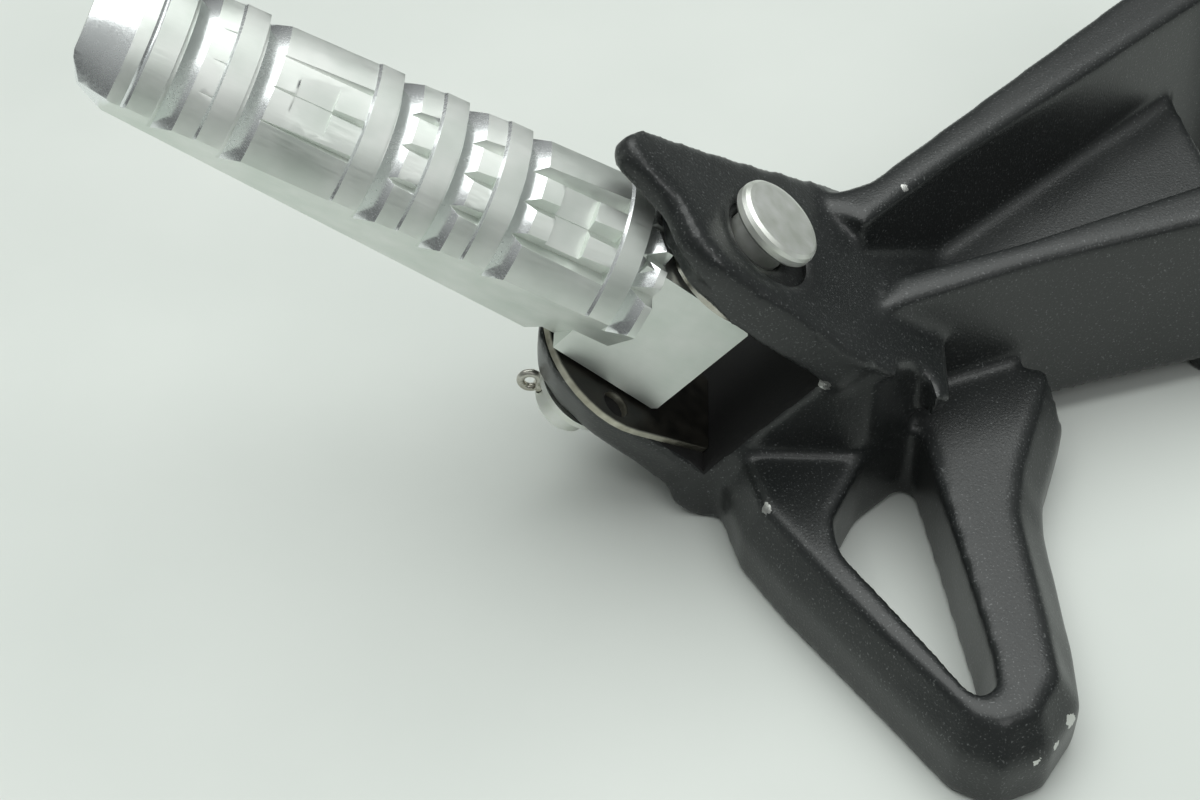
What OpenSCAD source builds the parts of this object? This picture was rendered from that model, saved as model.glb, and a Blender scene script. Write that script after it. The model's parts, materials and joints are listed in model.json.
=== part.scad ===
// Pillion footrest bracket: a cast bracket with a clevis, a tie-down loop and two bolted arms,
// and a folding aluminium peg held by a headed pin. Millimetres, +Z up, standing on its bosses.

/* [Clevis] */
// Angle of the pin axis above the horizontal
pin_tilt = 50; // [45:1:55]
// Height of the pin axis above the mounting plane, at the middle of the slot
pin_height = 30; // [29:0.5:34]
// Inner face of the lower ear, along the pin axis
slot_low = -12; // [-12.5:0.1:-12]
// Inner face of the upper ear, along the pin axis
slot_high = 12.7; // [12.5:0.1:13]
// Distance from the pin axis to the bottom of the slot
slot_depth = 17.5; // [16:0.5:19]
// Thickness of each ear
ear_t = 8; // [7:0.5:9]
// Front face of the clevis, measured from the pin axis
clevis_front = 11; // [10:0.5:12]

/* [Pin] */
// Shank diameter
pin_d = 9; // [8:0.5:9]
// Head diameter
head_d = 13.4; // [12:0.2:14]
// Head thickness
head_t = 2.4; // [2:0.1:3]
// Overall length of the pin
pin_len = 48.4; // [47:0.2:50]

/* [Peg] */
// Width of the tongue
tongue_w = 20.2; // [19:0.1:20.4]
// Thickness of the tongue
tongue_t = 14; // [12:0.5:15]
// Distance of the free end of the tread from the pin axis
peg_len = 89; // [86:0.5:92]
// Radius of the tread's crown at its inner end
crown_r = 15.5; // [15:0.1:16]
// Half the width of the peg at its inner end
peg_half = 10.4; // [10:0.1:10.8]
// Lean of the peg towards its under side
peg_lean = 10; // [8:0.5:11]
// Spacing of the tread's ribs
rib_pitch = 9.35; // [9:0.05:9.6]
// Width of a tread rib
rib_w = 3.8; // [3:0.1:4.2]
// Depth of the tread's pockets
tread_deep = 2.2; // [1.8:0.1:2.4]

/* [Bracket] */
// Distance between the two frame bolts
bolt_spacing = 50; // [48:1:54]
// Diameter of the frame bolt holes
bolt_hole = 8.5; // [8:0.1:9]
// Diameter of the bolt bosses
boss_d = 19; // [18:0.5:22]

/* [Detent] */
// Diameter of the detent ball
ball_d = 5; // [4.8:0.1:5]
// Thickness of the detent plate
plate_t = 1.3; // [1:0.1:1.5]
// Distance of the ball from the pin axis
ball_orbit = 9.6; // [9.5:0.1:9.8]

/* [Hidden] */
$fn = 64;
bolt_x = 90;                       // the bolts, seen from the pin
bolt_y = 30;
pin_clear = 0.06;                  // running fit of the pin, on the radius
ear_bore = pin_d / 2 + pin_clear;
head_base = 22.6 - head_t / 2;     // under side of the head along the pin axis
pin_tail = head_base + head_t - pin_len;
rib_steps = [0, 2, 3, 4, 6, 7];    // places of the ribs, in rib pitches
rib_start = 11.9;
peg_root = 8;
crown_drop = -4.5;                 // centre of the crown's circle below the peg's axis
crown_taper = 0.03;
peg_shift = 4.5;
plate_face = slot_low + plate_t;
ball_gap = 0.06;                   // riding clearance between the ball and the plate
ball_a = plate_face + ball_gap + ball_d / 2;
detent_seat_r = 2.15;
black = "#26282a";
alloy = "#c9cdcc";
zinc = "#c8c9bd";
steel = "#a5a59c";

// Puts what it holds into the frame of the part: the origin is midway between the bolts
module in_part() {
  translate([-bolt_x, -bolt_y - bolt_spacing / 2, pin_height]) children();
}

// X along the pin axis, Z outwards along the slot
module in_clevis() {
  in_part() rotate([0, -pin_tilt, 0]) children();
}

module along_pin(r, from, to) {
  translate([from, 0, 0]) rotate([0, 90, 0]) cylinder(r = r, h = to - from);
}

// A plate across the pin axis, its outline given as [y, z]
module ear_plate(outline, from, to) {
  translate([from, 0, 0]) rotate([90, 0, 90]) linear_extrude(to - from) polygon(outline);
}

// A solid between two outlines of equal point count at two heights, both given clockwise from above
module loft(low, high, z_low, z_high) {
  n = len(low);
  polyhedron(
    points = concat([for (p = low) [p[0], p[1], z_low]], [for (p = high) [p[0], p[1], z_high]]),
    faces = concat(
      [[for (i = [0 : n - 1]) n - 1 - i]],
      [[for (i = [0 : n - 1]) n + i]],
      [for (i = [0 : n - 1]) [i, (i + 1) % n, n + i]],
      [for (i = [0 : n - 1]) [n + (i + 1) % n, n + i, (i + 1) % n]]));
}

// Softens the corners of a flat outline
module softened(r) {
  offset(r = r, $fn = 24) offset(delta = -2 * r) offset(delta = r) children();
}

// Clevis of the bracket
module upper_ear() {
  outer = slot_high + ear_t - 0.7;
  lug = [[-12.4, -20], [-12.6, 0], [-10.5, 7.6], [-5, 12], [1, 13], [8, 10.2], [14, 1.5], [22, -14], [23, -20]];
  horn = [[-12.4, -4], [-12.4, 7], [-9.8, 11.8], [-4.8, 15.2], [-2.6, 20.5], [-1, 23.4], [2, 24.2],
          [5, 21.6], [9.2, 12], [14, 1.5]];
  ear_plate(lug, slot_high, outer);
  ear_plate(horn, slot_high + 3, outer);
}

module lower_ear() {
  inner = [[-clevis_front, -20], [-clevis_front, 5], [-8.4, 10.6], [-3, 13.4], [4, 13], [10, 8], [14, 0], [19, -20]];
  outer = [[-8.4, -20], [-7.2, -4], [-5.2, 3], [-1, 7.2], [4, 7.6], [8, 4], [11, -2], [16, -20]];
  rotate([90, 0, 90]) loft(outer, inner, slot_low - ear_t, slot_low);
}

module clevis_root() {
  front = [[-clevis_front, -slot_depth], [22, -slot_depth], [22, -36], [-8, -36], [-clevis_front, -30]];
  ear_plate(front, slot_low - ear_t, slot_high + ear_t - 0.7);
}

// Arms, seen from above with the pin at the origin
module arms() {
  upper_low = [[14, 20], [30, 23], [bolt_x - 10, bolt_y + bolt_spacing], [bolt_x, bolt_y + bolt_spacing - 9], [44, 26], [28, 10]];
  upper_top = [[20, 16.5], [29, 21.4], [bolt_x - 8, bolt_y + bolt_spacing], [bolt_x + 1, bolt_y + bolt_spacing - 5], [42, 27.2], [27.7, 11.8]];
  mid_low = [[28, 8], [52, 18], [bolt_x, bolt_y + 7], [bolt_x + 2, bolt_y - 7], [58, 11.5], [34, 1]];
  mid_top = [[32, 7.3], [52, 15.8], [bolt_x, bolt_y + 5], [bolt_x + 2, bolt_y - 4], [55, 12], [30, 0.2]];
  loft(upper_low, upper_top, -pin_height + 6, 8);
  loft(mid_low, mid_top, -pin_height + 4, 2);
  // the web between the arms
  translate([0, 0, -14]) linear_extrude(6)
    polygon([[20, 16], [bolt_x - 10, bolt_y + bolt_spacing - 8], [bolt_x - 2, bolt_y], [34, 4]]);
}

module boss(y, top) {
  translate([bolt_x, y, -pin_height]) cylinder(d1 = boss_d + 2, d2 = boss_d, h = top + pin_height);
}

// Tie-down loop: a three-sided ring with a broad bevelled leg and a narrow one
module loop_ring() {
  base = [[59, 2], [54.2, -13], [53.6, -20], [55, -41], [55, -50], [50, -58], [43.5, -61], [38, -58.5],
          [28, -45], [17.3, -30.7], [11, -21], [8, -10], [20, 6], [40, 12]];
  crest = [[56.5, 8], [50, -13], [48.7, -20], [50.6, -40], [51.2, -49], [48, -54.6], [43.5, -57], [40, -55.6],
           [30, -43.4], [19.6, -28.5], [14, -20.5], [11, -10], [20, 6], [40, 12]];
  translate([0, 0, -pin_height]) linear_extrude(pin_height - 22) polygon(base);
  loft(base, crest, -22, -16);
}

module loop_hole() {
  translate([0, 0, -pin_height - 1]) linear_extrude(pin_height)
    softened(1.8) polygon([[36.4, -3.5], [39.4, -22], [43, -45], [43.2, -51], [40.5, -53.2], [35.5, -45.4],
                           [24.2, -28.6], [23.4, -22.5], [28, -12]]);
}

module bracket() {
  color(black) difference() {
    union() {
      in_part() difference() {
        union() {
          rotate([0, -pin_tilt, 0]) clevis_root();
          arms();
          boss(bolt_y, -2);
          boss(bolt_y + bolt_spacing, 4);
          loop_ring();
        }
        loop_hole();
        // the mounting side is one plane
        translate([-100, -150, -pin_height - 60]) cube([300, 300, 60]);
      }
      in_clevis() {
        upper_ear();
        lower_ear();
      }
    }
    in_clevis() {
      along_pin(ear_bore, -40, 40);
      // relief under the head, a little off the bore as cast
      translate([0, -0.8, -1]) along_pin(7.1, slot_high + ear_t - 1.9, 40);
      // the slot itself
      translate([slot_low, -60, -slot_depth]) cube([slot_high - slot_low, 100, 40]);
    }
    for (y = [-1, 1])
      translate([0, y * bolt_spacing / 2, -1]) cylinder(d = bolt_hole, h = 60);
  }
}

// Peg frame: X up through the tread, Y across, Z outwards
module in_peg() {
  in_clevis() translate([peg_shift, 0, 0]) rotate([0, -peg_lean, 0]) rotate([0, 0, -35]) children();
}

function crown_at(q) = crown_r - crown_taper * (q - peg_root);

// Half section of the tread as turned: ribs, and the ramp that rises from the foot of each rib
function rib_profile(k) =
  let (q = rib_start + rib_pitch * rib_steps[k], r = crown_at(q))
  [[r - 0.5, q - 2.8], [r - tread_deep, q - 0.5], [r - tread_deep, q], [r, q + 0.3],
   [r, q + rib_w - 0.3], [r - 0.5, q + rib_w]];

module crown() {
  tip = rib_start + rib_pitch * 7 + rib_w;
  profile = concat([[0, peg_root - 2], [crown_at(0) - 0.5, peg_root - 2]],
                   [for (k = [0 : len(rib_steps) - 1]) each rib_profile(k)],
                   [[crown_at(tip) - 0.2, tip + 0.4], [crown_at(tip) - 0.4, tip + 2.2],
                    [crown_at(tip) - 6, peg_len + 1], [0, peg_len + 1]]);
  translate([crown_drop, 0, 0]) rotate_extrude($fn = 96) polygon(profile);
}

module peg_sides() {
  tip_half = 9.4;
  rotate([0, 90, 0]) translate([0, 0, -30]) linear_extrude(60)
    polygon([[-peg_root, -peg_half], [-peg_root, peg_half], [-peg_len + 6, tip_half], [-peg_len + 2, tip_half - 1.6],
             [-peg_len, tip_half - 4.5], [-peg_len, -tip_half + 4.5], [-peg_len + 2, -tip_half + 1.6],
             [-peg_len + 6, -tip_half]]);
}

module peg_underside() {
  translate([0, 30, 0]) rotate([90, 0, 0]) linear_extrude(60)
    polygon([[-13.4, peg_root], [30, peg_root], [30, peg_len], [2.4, peg_len], [0.4, peg_len - 1.5],
             [-0.4, peg_len - 5]]);
}

// Grooves along the peg that part the blocks of one pocket
module block_grooves(from, to) {
  for (turn = [-20, 0, 20])
    translate([crown_drop, 0, from]) rotate([0, 0, turn])
      linear_extrude(to - from)
        polygon([[crown_r - 2.5, 0], [crown_r + 1, -2.4], [crown_r + 1, 2.4]]);
}

// Flat floor across the middle rows of a long pocket
module long_recess(from, to) {
  translate([crown_drop, 0, from]) linear_extrude(to - from)
    polygon([[crown_r - 2.4, -4.7], [crown_r + 2, -5.4], [crown_r + 2, 5.4], [crown_r - 2.4, 4.7]]);
}

module tread_cuts() {
  starts = concat([peg_root - 4], [for (k = [0 : 4]) rib_start + rib_pitch * rib_steps[k] + rib_w]);
  for (k = [0 : len(rib_steps) - 1]) {
    stop = rib_start + rib_pitch * rib_steps[k];
    block_grooves(starts[k] + 0.01, stop - 0.01);
    if (stop - starts[k] > 1.2 * rib_pitch)
      long_recess(starts[k] + 4.2, stop - 5.6);
  }
}

module tongue() {
  // narrower at its free end, with a stepped heel under the tread
  rotate([90, 0, 0]) translate([0, 0, -tongue_t / 2]) linear_extrude(tongue_t)
    polygon([[-tongue_w / 2, -6], [-tongue_w / 2 + 0.6, -6.6], [tongue_w / 2 - 0.8, -6.6], [tongue_w / 2 - 0.2, -6],
             [tongue_w / 2 - 0.2, 12], [-tongue_w / 2, 12]]);
}

module footpeg() {
  color(alloy) difference() {
    union() {
      in_clevis() tongue();
      difference() {
        in_peg() difference() {
          intersection() {
            crown();
            peg_sides();
            peg_underside();
          }
          tread_cuts();
        }
        // the shoulders clear the ears over the whole fold
        in_clevis() {
          along_pin(13.9, slot_high - 0.6, 40);
          along_pin(9, tongue_w / 2 - 0.2, 40);
          along_pin(14.5, -40, plate_face + 0.35);
        }
      }
    }
    in_clevis() {
      along_pin(ear_bore, -40, 40);
      translate([0, 0, ball_orbit]) along_pin(ball_d / 2 + pin_clear, -30, slot_low + 12);
    }
  }
}

module pivot_pin() {
  // rounded head, plain shank, chamfered tail with a cross hole
  head = pin_len + pin_tail;
  color(zinc) in_clevis() difference() {
    rotate([0, 90, 0]) rotate_extrude()
      polygon([[0, pin_tail], [pin_d / 2 - 0.7, pin_tail], [pin_d / 2, pin_tail + 0.7], [pin_d / 2, head_base],
               [head_d / 2 - 0.3, head_base], [head_d / 2, head_base + 0.4], [head_d / 2, head - 1.1],
               [head_d / 2 - 0.2, head - 0.5], [head_d / 2 - 0.7, head - 0.1], [head_d / 2 - 1.3, head], [0, head]]);
    translate([pin_tail + 1.9, 0, -8]) cylinder(r = 1.1, h = 16);
  }
}

module pin_washer() {
  color(zinc) in_clevis() difference() {
    along_pin(6.2, slot_low - ear_t - 0.9, slot_low - ear_t);
    along_pin(pin_d / 2 + 0.1, -40, 0);
  }
}

module split_pin() {
  // an eye, two legs and their ends spread round the tail
  a = pin_tail + 1.9;
  color(steel) in_clevis() {
    translate([a, 0, -6.6]) cylinder(r = 0.95, h = 12, $fn = 24);
    translate([a, 0, 6.4]) rotate([90, 0, 0]) rotate_extrude($fn = 32) translate([1.4, 0]) circle(r = 0.6, $fn = 16);
  }
}

module thrust_washer() {
  color(steel) in_clevis() difference() {
    along_pin(8.4, tongue_w / 2 + 0.25, slot_high - 0.05);
    along_pin(pin_d / 2 + 0.1, 0, 40);
  }
}

module detent_plate() {
  color(steel) in_clevis() difference() {
    ear_plate(concat([for (t = [-20 : 10 : 200]) [12.6 * cos(t), 12.6 * sin(t)]],
                     [[-7, -slot_depth + 0.2], [7, -slot_depth + 0.2]]), slot_low, plate_face);
    along_pin(pin_d / 2 + 0.1, -40, 0);
    translate([0, 0, ball_orbit]) along_pin(detent_seat_r, -40, 0);
    translate([0, -ball_orbit, 0]) along_pin(detent_seat_r, -40, 0);
  }
}

module detent_ball() {
  color(zinc) in_clevis() translate([ball_a, 0, ball_orbit]) sphere(d = ball_d, $fn = 48);
}

module detent_spring() {
  // closed coils between the ball and the floor of its bore
  wire = 0.4;
  turns = 5;
  steps = 14;
  from = ball_a + ball_d / 2 + wire + 0.05;
  to = slot_low + 12 - wire - 0.02;
  sides = 6;
  n = turns * steps;
  coil = ball_d / 2 - wire - 0.15;
  points = [for (i = [0 : n]) for (j = [0 : sides - 1])
    let (t = 360 * i / steps, u = 360 * j / sides, r = coil + wire * cos(u))
    [from + (to - from) * i / n + wire * sin(u), r * cos(t), r * sin(t)]];
  faces = concat([[for (j = [0 : sides - 1]) j]],
    [[for (j = [0 : sides - 1]) n * sides + sides - 1 - j]],
    [for (i = [0 : n - 1]) for (j = [0 : sides - 1])
      [i * sides + (j + 1) % sides, i * sides + j, (i + 1) * sides + j]],
    [for (i = [0 : n - 1]) for (j = [0 : sides - 1])
      [i * sides + (j + 1) % sides, (i + 1) * sides + j, (i + 1) * sides + (j + 1) % sides]]);
  color(steel) in_clevis() translate([0, 0, ball_orbit]) polyhedron(points, faces);
}

bracket();
footpeg();
pivot_pin();
pin_washer();
split_pin();
thrust_washer();
detent_plate();
detent_ball();
detent_spring();
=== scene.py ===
"""Motorcycle footrest bracket: a black cast bracket with a folding aluminium peg on a pale bench."""

import json
import math

import bmesh
import bpy
from mathutils import Matrix, Vector

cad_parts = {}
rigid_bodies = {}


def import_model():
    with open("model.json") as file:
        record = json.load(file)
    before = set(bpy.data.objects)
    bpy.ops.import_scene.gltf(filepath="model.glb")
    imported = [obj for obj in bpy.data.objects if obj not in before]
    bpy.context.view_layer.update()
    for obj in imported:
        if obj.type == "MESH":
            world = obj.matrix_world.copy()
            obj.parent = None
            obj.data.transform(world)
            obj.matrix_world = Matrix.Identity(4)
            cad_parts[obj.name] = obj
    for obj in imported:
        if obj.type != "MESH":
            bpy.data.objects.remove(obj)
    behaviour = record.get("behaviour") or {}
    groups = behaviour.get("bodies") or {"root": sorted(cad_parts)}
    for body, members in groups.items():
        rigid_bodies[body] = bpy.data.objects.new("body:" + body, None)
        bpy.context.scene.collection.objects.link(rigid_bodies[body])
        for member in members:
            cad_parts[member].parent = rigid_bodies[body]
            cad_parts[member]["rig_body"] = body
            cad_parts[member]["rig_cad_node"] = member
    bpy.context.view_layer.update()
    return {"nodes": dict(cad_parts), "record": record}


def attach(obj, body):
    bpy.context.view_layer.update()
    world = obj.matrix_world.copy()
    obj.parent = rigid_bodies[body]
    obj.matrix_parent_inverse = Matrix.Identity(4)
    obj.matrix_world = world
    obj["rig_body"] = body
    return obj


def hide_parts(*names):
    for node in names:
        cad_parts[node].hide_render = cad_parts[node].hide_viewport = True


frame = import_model()

MM = 0.001
# The pivot pin's middle, from which the bracket's own places are counted
PIN = Vector((-90, -55, 30)) * MM
PIN_TILT = math.radians(50)
PEG_LEAN = math.radians(10)


# Directions: along the pin towards its head, outwards along the slot, and along the peg
PIN_AXIS = Vector((math.cos(PIN_TILT), 0, math.sin(PIN_TILT)))
SLOT_AXIS = Vector((-math.sin(PIN_TILT), 0, math.cos(PIN_TILT)))
PEG_AXIS = Vector((-math.sin(PIN_TILT + PEG_LEAN), 0, math.cos(PIN_TILT + PEG_LEAN)))


def at(x, y, z):
    """A point in millimetres from the pin, as metres in the part's frame."""
    return PIN + Vector((x, y, z)) * MM


def along_pin(a, b, p):
    """A point in the clevis: a along the pin, b across, p outwards."""
    turn = Matrix.Rotation(-PIN_TILT, 3, "Y")
    return PIN + turn @ Vector((a, b, p)) * MM


# Camera
CAMERA_LENS = 66.0
CAMERA_DISTANCE = 308.2 * MM
CAMERA_ELEVATION = math.radians(44.9)
CAMERA_TURN = math.radians(-1.7)
# Where the pin stands in the view, right of and above the middle
PIN_RIGHT = 9.4 * MM
PIN_ABOVE = 11.9 * MM


def make_camera():
    data = bpy.data.cameras.new("camera")
    data.lens = CAMERA_LENS
    data.sensor_width = 36.0
    data.clip_start = 0.01
    camera = bpy.data.objects.new("camera", data)
    bpy.context.scene.collection.objects.link(camera)
    turn = Matrix.Rotation(-CAMERA_TURN, 3, "Z") @ Matrix.Rotation(math.pi / 2 - CAMERA_ELEVATION, 3, "X")
    offset = turn @ Vector((-PIN_RIGHT, -PIN_ABOVE, CAMERA_DISTANCE))
    camera.matrix_world = Matrix.Translation(PIN + offset) @ turn.to_4x4()
    bpy.context.scene.camera = camera


# Materials
class Nodes:
    """A few short calls for building one material's nodes."""

    def __init__(self, name):
        self.material = bpy.data.materials.new(name)
        self.material.use_nodes = True
        self.tree = self.material.node_tree
        self.shader = self.tree.nodes["Principled BSDF"]
        self.coords = self.tree.nodes.new("ShaderNodeTexCoord").outputs["Object"]

    def link(self, source, target):
        self.tree.links.new(source, target)

    def noise(self, scale, detail=3.0, vector=None):
        node = self.tree.nodes.new("ShaderNodeTexNoise")
        node.inputs["Scale"].default_value = scale
        node.inputs["Detail"].default_value = detail
        self.link(vector or self.coords, node.inputs["Vector"])
        return node.outputs["Fac"]

    def stretched(self, turn, scale):
        rotate = self.tree.nodes.new("ShaderNodeVectorRotate")
        rotate.rotation_type = "Y_AXIS"
        rotate.inputs["Angle"].default_value = turn
        mapping = self.tree.nodes.new("ShaderNodeMapping")
        mapping.inputs["Scale"].default_value = scale
        self.link(self.coords, rotate.inputs["Vector"])
        self.link(rotate.outputs["Vector"], mapping.inputs["Vector"])
        return mapping.outputs["Vector"]

    def ramp(self, source, low, high, from_low=0.3, from_high=0.7):
        node = self.tree.nodes.new("ShaderNodeMapRange")
        node.inputs["From Min"].default_value = from_low
        node.inputs["From Max"].default_value = from_high
        node.inputs["To Min"].default_value = low
        node.inputs["To Max"].default_value = high
        self.link(source, node.inputs["Value"])
        return node.outputs["Result"]

    def math(self, operation, first, second):
        node = self.tree.nodes.new("ShaderNodeMath")
        node.operation = operation
        for socket, value in zip(node.inputs, (first, second)):
            if isinstance(value, (int, float)):
                socket.default_value = value
            else:
                self.link(value, socket)
        return node.outputs[0]

    def mix_colour(self, factor, first, second):
        node = self.tree.nodes.new("ShaderNodeMix")
        node.data_type = "RGBA"
        self.link(factor, node.inputs["Factor"])
        for socket, value in ((node.inputs[6], first), (node.inputs[7], second)):
            if isinstance(value, tuple):
                socket.default_value = (*value, 1)
            else:
                self.link(value, socket)
        return node.outputs[2]

    def bump(self, height, strength, distance):
        node = self.tree.nodes.new("ShaderNodeBump")
        node.inputs["Strength"].default_value = strength
        node.inputs["Distance"].default_value = distance
        self.link(height, node.inputs["Height"])
        self.link(node.outputs["Normal"], self.shader.inputs["Normal"])

    def near(self, place, radius, ragged):
        """1 within a ragged spot of that radius round a place, else 0."""
        distance = self.tree.nodes.new("ShaderNodeVectorMath")
        distance.operation = "DISTANCE"
        self.link(self.coords, distance.inputs[0])
        distance.inputs[1].default_value = place
        reach = self.math("MULTIPLY", ragged, radius * 2)
        return self.math("LESS_THAN", distance.outputs["Value"], reach)


    def along(self, axis):
        """How far a point stands from the pin's middle along an axis, in metres."""
        dot = self.tree.nodes.new("ShaderNodeVectorMath")
        dot.operation = "DOT_PRODUCT"
        self.link(self.coords, dot.inputs[0])
        dot.inputs[1].default_value = axis
        return self.math("SUBTRACT", dot.outputs["Value"], PIN.dot(axis))

    def facing(self, axis):
        """How squarely the surface faces along an axis, either way, from 0 to 1."""
        normal = self.tree.nodes["Texture Coordinate"].outputs["Normal"]
        dot = self.tree.nodes.new("ShaderNodeVectorMath")
        dot.operation = "DOT_PRODUCT"
        self.link(normal, dot.inputs[0])
        dot.inputs[1].default_value = axis
        return self.math("ABSOLUTE", dot.outputs["Value"], 0.0)


# The slot between the ears: its middle and half width along the pin, and its depth from the pin
SLOT_MIDDLE = 0.35 * MM
SLOT_HALF = 12.35 * MM
SLOT_DEPTH = 17.5 * MM
PLATE_FACE = -10.7 * MM

# Bare spots where the paint is knocked off, and one painted highlight: place and radius in millimetres
CHIPS_AND_HIGHLIGHT = [(at(34, 19.5, 8), 0.7), (along_pin(12.7, -11, -17.5), 1.3), (at(48.5, -59, -22.5), 0.8),
         (at(51.5, -56.2, -22), 0.9), (at(53.6, -52.5, -22), 1.2),
         # the last spot is a painted highlight: bare metal put in the pocket where a glint of light shows
         (at(14.5, -21, -17), 0.8)]


def black_paint():
    n = Nodes("black_paint")
    grain = n.noise(2600, 2)
    blotch = n.noise(45, 3)
    flecks = n.noise(3000, 1)
    ragged = n.noise(900, 3)
    bare_and_highlight = n.near(CHIPS_AND_HIGHLIGHT[0][0], CHIPS_AND_HIGHLIGHT[0][1] * MM, ragged)
    for place, radius in CHIPS_AND_HIGHLIGHT[1:]:
        bare_and_highlight = n.math("MAXIMUM", bare_and_highlight, n.near(place, radius * MM, ragged))
    paint = n.mix_colour(n.ramp(blotch, 0, 1), (0.012, 0.014, 0.014), (0.021, 0.023, 0.023))
    speckled = n.mix_colour(n.ramp(flecks, 0, 1, 0.62, 0.78), paint, (0.12, 0.125, 0.125))
    # inside the slot the paint is duller, and its colour is painted nearly black as shade, since little
    # light reaches into the deep slot
    across = n.math("ABSOLUTE", n.math("SUBTRACT", n.along(PIN_AXIS), SLOT_MIDDLE), 0.0)
    slot_shade_and_dull = n.math("MULTIPLY", n.math("LESS_THAN", across, SLOT_HALF + 0.3 * MM),
                     n.math("GREATER_THAN", n.along(SLOT_AXIS), -SLOT_DEPTH - 0.4 * MM))
    speckled = n.mix_colour(slot_shade_and_dull, speckled, (0.003, 0.003, 0.003))
    n.link(n.mix_colour(bare_and_highlight, speckled, (0.62, 0.62, 0.60)), n.shader.inputs["Base Color"])
    n.link(n.math("MAXIMUM", n.ramp(blotch, 0.29, 0.38), n.math("MULTIPLY", slot_shade_and_dull, 0.85)),
           n.shader.inputs["Roughness"])
    n.shader.inputs["Specular IOR Level"].default_value = 0.6
    n.link(bare_and_highlight, n.shader.inputs["Metallic"])
    n.bump(grain, 0.3, 0.00012)
    return n.material


def machined_aluminium():
    n = Nodes("machined_aluminium")
    brushed = n.noise(1.0, 4, n.stretched(PIN_TILT + PEG_LEAN, (4000, 4000, 120)))
    patches = n.noise(120, 3)
    # the ramps between the ribs are polished, and the rest is satin
    tilt = n.facing(PEG_AXIS)
    polished = n.math("MULTIPLY", n.ramp(tilt, 0, 1, 0.12, 0.3), n.ramp(tilt, 1, 0, 0.85, 0.95))
    satin = n.mix_colour(n.ramp(patches, 0, 1), (0.70, 0.75, 0.70), (0.87, 0.89, 0.86))
    n.link(n.mix_colour(polished, satin, (0.92, 0.94, 0.95)), n.shader.inputs["Base Color"])
    dull = n.math("ADD", n.ramp(patches, 0.36, 0.46), n.ramp(brushed, 0.0, 0.12))
    n.link(n.math("SUBTRACT", dull, n.math("MULTIPLY", polished, 0.24)), n.shader.inputs["Roughness"])
    n.shader.inputs["Metallic"].default_value = 0.9
    n.bump(brushed, 0.08, 0.00005)
    return n.material


def zinc_plate():
    n = Nodes("zinc_plate")
    cloud = n.noise(350, 4)
    colour = n.mix_colour(n.ramp(cloud, 0, 1), (0.84, 0.87, 0.79), (0.95, 0.96, 0.93))
    n.link(colour, n.shader.inputs["Base Color"])
    n.link(n.ramp(cloud, 0.36, 0.5), n.shader.inputs["Roughness"])
    n.shader.inputs["Metallic"].default_value = 0.8
    n.bump(n.noise(1500, 3), 0.1, 0.00005)
    return n.material


def bright_steel():
    n = Nodes("bright_steel")
    cloud = n.noise(500, 4)
    colour = n.mix_colour(n.ramp(cloud, 0, 1), (0.42, 0.40, 0.34), (0.66, 0.65, 0.60))
    n.link(colour, n.shader.inputs["Base Color"])
    n.link(n.ramp(cloud, 0.2, 0.4), n.shader.inputs["Roughness"])
    n.shader.inputs["Metallic"].default_value = 1.0
    return n.material


def shaded_plate_steel():
    """The detent plate: its face is painted nearly black as shade, since it sits deep in the dark slot, and
    only its rim keeps the bright steel colour.
    """
    n = Nodes("shaded_plate_steel")
    mottle = n.noise(420, 4)
    height = n.along(PIN_AXIS)
    face = n.ramp(height, 0, 1, PLATE_FACE - 0.45 * MM, PLATE_FACE - 0.1 * MM)
    bright = n.mix_colour(n.ramp(mottle, 0, 1), (0.34, 0.32, 0.25), (0.66, 0.64, 0.55))
    # painted shade: the plate's face is coloured nearly black, as the slot around it lies in shadow
    face_shade = n.mix_colour(n.ramp(mottle, 0, 1), (0.008, 0.008, 0.007), (0.030, 0.028, 0.022))
    n.link(n.mix_colour(face, bright, face_shade), n.shader.inputs["Base Color"])
    n.link(n.ramp(mottle, 0.3, 0.5), n.shader.inputs["Roughness"])
    n.link(n.ramp(face, 1.0, 0.2, 0.0, 1.0), n.shader.inputs["Metallic"])
    return n.material


def bench():
    n = Nodes("bench")
    cloud = n.noise(14, 4)
    colour = n.mix_colour(n.ramp(cloud, 0, 1), (0.70, 0.735, 0.70), (0.76, 0.79, 0.755))
    n.link(colour, n.shader.inputs["Base Color"])
    n.shader.inputs["Roughness"].default_value = 0.55
    return n.material


def dress(obj, material):
    obj.data.materials.clear()
    obj.data.materials.append(material)


# The casting: its edges are soft, but the machined slot and bores stay crisp
CAST_VOXEL = 0.75 * MM
CAST_SMOOTHING = 16
# The holes that are cut anew after it is rounded, in metres
BORE_RADIUS = 4.56 * MM
BOLT_RADIUS = 4.25 * MM
BOLT_HEIGHT = 0.02
BOLT_OFFSET = 0.025
THROUGH = 80 * MM
SLOT_CUT = (24.7 * MM, 120 * MM, 40 * MM)
# The recess round the pin's head stands off the bore, and its floor is counted in millimetres along the pin
RELIEF_FLOOR = 18.8
RELIEF_RADIUS = 7.1 * MM
RELIEF_DEPTH = 20
# The run of the upper arm's back wall, and the block that trims the web where it comes out through it
WALL_RUN = (51.2, 57.65)
WEB_TRIM_AT = (33.7, 33.2, -11)
WEB_TRIM_SIZE = (26 * MM, 8 * MM, 9 * MM)


def cutter(name, place, turn, size=None, radius=None, depth=None):
    if size:
        bpy.ops.mesh.primitive_cube_add(size=1)
        bpy.context.object.scale = size
    else:
        bpy.ops.mesh.primitive_cylinder_add(vertices=96, radius=radius, depth=depth)
    tool = bpy.context.object
    tool.name = name
    tool.matrix_world = Matrix.Translation(place) @ turn.to_4x4() @ Matrix.Diagonal((*tool.scale, 1))
    return tool


# Heights from the pin of the flat ends of the casting's arms and loop
FLAT_ENDS = (-26.0, -24.0, -16.0, 2.0, 8.0)
LEVEL = 0.02 * MM


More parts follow.
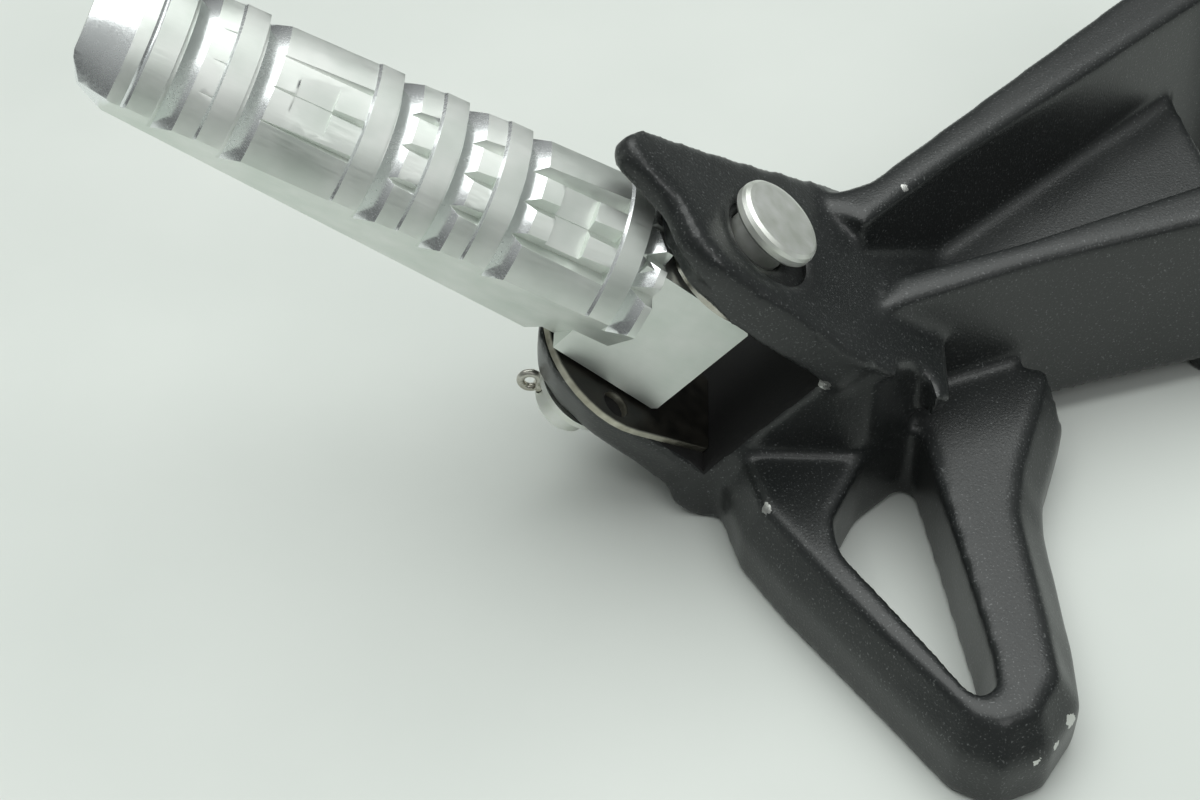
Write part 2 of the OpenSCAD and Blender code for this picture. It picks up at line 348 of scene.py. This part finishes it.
def refill_flat_ends(mesh):
    """Fills each flat end anew inside its rim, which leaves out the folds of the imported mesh."""
    bm = bmesh.new()
    bm.from_mesh(mesh)
    bmesh.ops.remove_doubles(bm, verts=bm.verts, dist=0.001 * MM)
    for height in FLAT_ENDS:
        plane = at(0, 0, height).z
        flat = [face for face in bm.faces
                if abs(face.normal.z) > 0.999 and all(abs(v.co.z - plane) < LEVEL for v in face.verts)]
        bmesh.ops.delete(bm, geom=flat, context="FACES")
        rim = [edge for edge in bm.edges
               if edge.is_boundary and all(abs(v.co.z - plane) < LEVEL for v in edge.verts)]
        bmesh.ops.triangle_fill(bm, use_beauty=True, edges=rim)
    bmesh.ops.recalc_face_normals(bm, faces=bm.faces)
    bm.to_mesh(mesh)
    bm.free()


def cast_bracket():
    node = frame["nodes"]["bracket"]
    skin = node.copy()
    skin.data = node.data.copy()
    skin.name = "bracket_casting"
    skin.parent = None
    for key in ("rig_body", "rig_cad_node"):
        if key in skin:
            del skin[key]
    bpy.context.scene.collection.objects.link(skin)
    refill_flat_ends(skin.data)
    # the web's edge comes out through the arm's back wall, and is trimmed flush with it
    along_wall = Matrix.Rotation(math.atan2(WALL_RUN[1], WALL_RUN[0]), 3, "Z")
    trimmer = cutter("web_trimmer", at(*WEB_TRIM_AT), along_wall, size=WEB_TRIM_SIZE)
    cut = skin.modifiers.new("web_trim", "BOOLEAN")
    cut.operation = "DIFFERENCE"
    cut.solver = "EXACT"
    cut.object = trimmer
    remesh = skin.modifiers.new("remesh", "REMESH")
    remesh.mode = "VOXEL"
    remesh.voxel_size = CAST_VOXEL
    smooth = skin.modifiers.new("smooth", "SMOOTH")
    smooth.factor = 0.5
    smooth.iterations = CAST_SMOOTHING
    clevis = Matrix.Rotation(-PIN_TILT, 3, "Y")
    round_the_pin = clevis @ Matrix.Rotation(math.pi / 2, 3, "Y")
    upright = Matrix.Identity(3)
    tools = [
        cutter("slot_tool", along_pin(0.35, 0, 2.5), clevis, size=SLOT_CUT),
        cutter("bore_tool", along_pin(0, 0, 0), round_the_pin, radius=BORE_RADIUS, depth=THROUGH),
        cutter("relief_tool", along_pin(RELIEF_FLOOR + RELIEF_DEPTH / 2, -0.8, -1), round_the_pin,
               radius=RELIEF_RADIUS, depth=RELIEF_DEPTH * MM),
        cutter("bolt_tool_a", (0, -BOLT_OFFSET, BOLT_HEIGHT), upright, radius=BOLT_RADIUS, depth=THROUGH),
        cutter("bolt_tool_b", (0, BOLT_OFFSET, BOLT_HEIGHT), upright, radius=BOLT_RADIUS, depth=THROUGH),
    ]
    for tool in tools:
        cut = skin.modifiers.new(tool.name, "BOOLEAN")
        cut.operation = "DIFFERENCE"
        cut.solver = "EXACT"
        cut.object = tool
    bpy.context.view_layer.update()
    depsgraph = bpy.context.evaluated_depsgraph_get()
    finished = bpy.data.meshes.new_from_object(skin.evaluated_get(depsgraph))
    skin.modifiers.clear()
    skin.data = finished
    for tool in tools + [trimmer]:
        bpy.data.objects.remove(tool)
    finished.shade_smooth()
    finished.set_sharp_from_angle(angle=math.radians(38))
    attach(skin, "bracket")
    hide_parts("bracket")
    return skin


def soften_edges(node, width, angle=25):
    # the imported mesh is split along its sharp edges, which a bevel can't cross
    weld = node.modifiers.new("weld", "WELD")
    weld.merge_threshold = 0.002 * MM
    bevel = node.modifiers.new("edges", "BEVEL")
    bevel.width = width
    bevel.segments = 2
    bevel.limit_method = "ANGLE"
    bevel.angle_limit = math.radians(angle)
    # flat faces stay flat to the eye, although their edges are rounded
    normals = node.modifiers.new("normals", "WEIGHTED_NORMAL")
    normals.mode = "FACE_AREA"
    normals.weight = 90
    normals.thresh = 0.01


# Light
def area_light(name, place, aim, size, power, colour=(1, 1, 1)):
    data = bpy.data.lights.new(name, "AREA")
    data.shape = "RECTANGLE"
    data.size, data.size_y = size
    data.energy = power
    data.color = colour
    light = bpy.data.objects.new(name, data)
    bpy.context.scene.collection.objects.link(light)
    light.location = place
    light.rotation_euler = (Vector(aim) - Vector(place)).to_track_quat("-Z", "Y").to_euler()


# Two soft lamps, placed from the pin, in metres and watts
WINDOW_FROM = Vector((-0.08, 0.24, 0.95))
WINDOW_SIZE = (1.4, 1.1)
WINDOW_POWER = 9.4
FRONT_FROM = Vector((0.35, -0.55, 0.7))
FRONT_SIZE = (0.5, 0.4)
FRONT_POWER = 1.0
# The sky is dark up to the first height and light from the second, as the sine of the elevation
SKY_STRENGTH = 0.42
SKY_DARK_TO = 0.1
SKY_LIGHT_FROM = 0.75


def light_scene():
    area_light("window", PIN + WINDOW_FROM, PIN, WINDOW_SIZE, WINDOW_POWER, (0.97, 1.0, 0.98))
    area_light("front", PIN + FRONT_FROM, PIN, FRONT_SIZE, FRONT_POWER)
    world = bpy.data.worlds.new("studio")
    bpy.context.scene.world = world
    world.use_nodes = True
    tree = world.node_tree
    background = tree.nodes["Background"]
    # Darker towards the horizon, so that the metal has something to reflect
    direction = tree.nodes.new("ShaderNodeTexCoord").outputs["Generated"]
    split = tree.nodes.new("ShaderNodeSeparateXYZ")
    sky = tree.nodes.new("ShaderNodeValToRGB")
    tree.links.new(direction, split.inputs[0])
    tree.links.new(split.outputs["Z"], sky.inputs["Fac"])
    tree.links.new(sky.outputs["Color"], background.inputs["Color"])
    sky.color_ramp.elements[0].position = SKY_DARK_TO
    sky.color_ramp.elements[0].color = (0.16, 0.17, 0.17, 1)
    sky.color_ramp.elements[1].position = SKY_LIGHT_FROM
    sky.color_ramp.elements[1].color = (0.93, 0.97, 0.95, 1)
    background.inputs["Strength"].default_value = SKY_STRENGTH


def make_floor():
    bpy.ops.mesh.primitive_grid_add(x_subdivisions=8, y_subdivisions=8, size=6, location=(0, 0, 0))
    floor = bpy.context.object
    floor.name = "bench_top"
    dress(floor, bench())


bpy.context.scene.view_settings.view_transform = "Standard"
make_camera()
light_scene()
make_floor()

SLOT_MATERIALS = {"black_paint": black_paint(), "machined_aluminium": machined_aluminium(),
                  "zinc_plate": zinc_plate(), "bright_steel": bright_steel()}
for entry in frame["record"]["subparts"]:
    dress(frame["nodes"][entry["node"]], SLOT_MATERIALS[entry["material_slot"]])
# the detent plate gets its own steel, with painted shade on its face
dress(frame["nodes"]["detent_plate"], shaded_plate_steel())
casting = cast_bracket()
dress(casting, SLOT_MATERIALS["black_paint"])
soften_edges(frame["nodes"]["footpeg"], 0.16 * MM)
